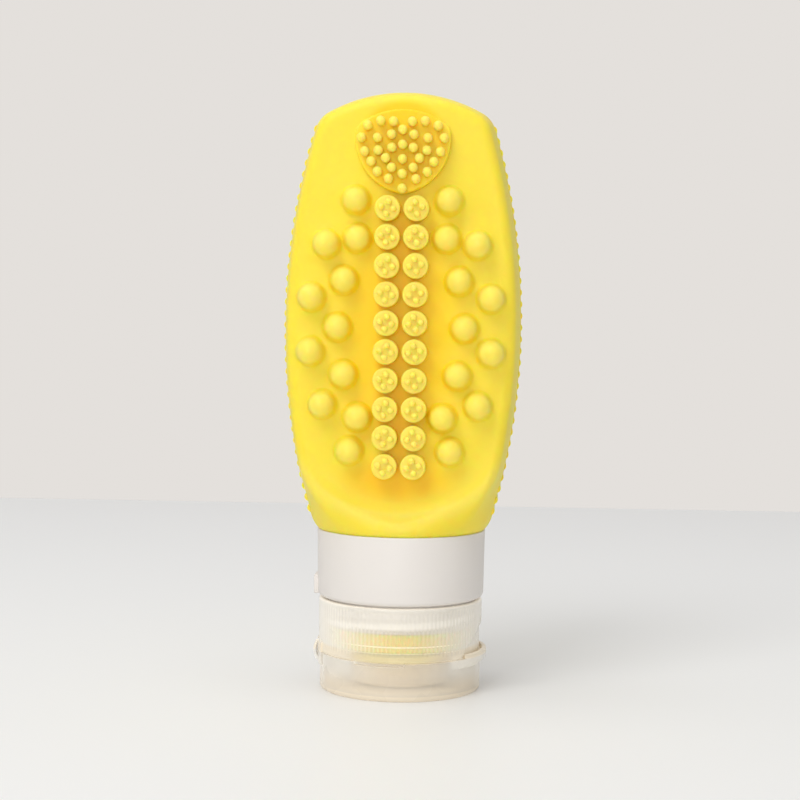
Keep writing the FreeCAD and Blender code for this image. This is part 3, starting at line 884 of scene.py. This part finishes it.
print("building the pieces")
makeSiliconeBody()
makeNeckCollar()
makeScrewCap()
makeFlipLid()
makeHingeStrap()
makeHingeWebs()
makeThreads()
for nodeName, material in (("slit_valve", valveSilicone), ("valve_retainer", clearPlastic)):
    cadNodes[nodeName].data.materials.clear()
    cadNodes[nodeName].data.materials.append(material)


# Stage, light and camera

studio = {
    "tableBack": 0.386,
    "tableHalf": 1.6,
    "tableColour": (0.85, 0.85, 0.845),
    "tableCloudTone": 1.02,
    "tableGrain": (6.0, 900.0),
    "tableRoughness": 0.45,
    "wallColour": (0.775, 0.745, 0.715),  # what the camera sees behind the table
    "worldLight": 0.45,
    "lamps": (  # name, place, size, power
        ("keySoftbox", (-0.45, -0.8, 1.0), 0.6, 6.3),
        ("fillSoftbox", (0.0, -1.3, 0.2), 0.5, 3.8),
        ("topSoftbox", (-0.1, -0.05, 1.1), 0.7, 3.5),
    ),
    "aim": (0, 0, 0.075),
}


def makeStage():
    bm = bmesh.new()
    half = studio["tableHalf"]
    grid = bmesh.ops.create_grid(bm, x_segments=1, y_segments=1, size=half)
    bmesh.ops.translate(bm, verts=grid["verts"], vec=(0, studio["tableBack"] - half, 0))
    material, tree, shader = startMaterial("paleTable")
    mottle = addGrain(tree, *studio["tableGrain"])[0]
    pale = studio["tableColour"]
    colour = addMix(tree, mottle, pale, toned(pale, studio["tableCloudTone"]))
    tree.links.new(colour, shader.inputs["Base Color"])
    shader.inputs["Roughness"].default_value = studio["tableRoughness"]
    table = meshPiece("table", bm, material)


def makeLamps():
    for name, place, size, power in studio["lamps"]:
        lamp = bpy.data.lights.new(name, "AREA")
        lamp.size = size
        lamp.energy = power
        holder = bpy.data.objects.new(name, lamp)
        holder.location = place
        aim = Vector(studio["aim"]) - Vector(place)
        holder.rotation_euler = aim.to_track_quat("-Z", "Y").to_euler()
        bpy.context.scene.collection.objects.link(holder)


def makeWorld():
    world = bpy.data.worlds.new("studioAir")
    bpy.context.scene.world = world
    world.use_nodes = True
    tree = world.node_tree
    lit = tree.nodes["Background"]
    lit.inputs["Color"].default_value = (1, 1, 1, 1)
    lit.inputs["Strength"].default_value = studio["worldLight"]
    seen = tree.nodes.new("ShaderNodeBackground")
    seen.inputs["Color"].default_value = (*studio["wallColour"], 1)
    rays = tree.nodes.new("ShaderNodeLightPath").outputs
    seenBy = addMath(tree, "MAXIMUM", rays["Is Camera Ray"], rays["Is Glossy Ray"],
                     rays["Is Transmission Ray"])
    mix = tree.nodes.new("ShaderNodeMixShader")
    tree.links.new(seenBy, mix.inputs["Fac"])
    tree.links.new(lit.outputs["Background"], mix.inputs[1])
    tree.links.new(seen.outputs["Background"], mix.inputs[2])
    tree.links.new(mix.outputs["Shader"], tree.nodes["World Output"].inputs["Surface"])


photoCamera = {
    "distance": 0.452,
    "height": 0.0949,
    "sideStep": -0.0007,
    "turn": 2.7,  # degrees that the bottle stands turned to the camera
    "pitch": 3.3,
    "roll": 0.7,
    "lens": 85.5,
    "sensor": 36.0,
    "nearest": 0.01,
}


def makeCamera():
    size = photoCamera
    lens = bpy.data.cameras.new("photoCamera")
    lens.lens = size["lens"]
    lens.sensor_width = size["sensor"]
    lens.clip_start = size["nearest"]
    holder = bpy.data.objects.new("photoCamera", lens)
    turn = Matrix.Rotation(math.radians(size["turn"]), 4, "Z")
    stand = Matrix.Translation((size["sideStep"], -size["distance"], size["height"]))
    look = Matrix.Rotation(math.radians(90 - size["pitch"]), 4, "X")
    roll = Matrix.Rotation(math.radians(size["roll"]), 4, "Z")
    holder.matrix_world = turn @ stand @ look @ roll
    bpy.context.scene.collection.objects.link(holder)
    bpy.context.scene.camera = holder


makeStage()
makeLamps()
makeWorld()
makeCamera()
bpy.context.scene.view_settings.view_transform = "Standard"
print("stage, light and camera ready")
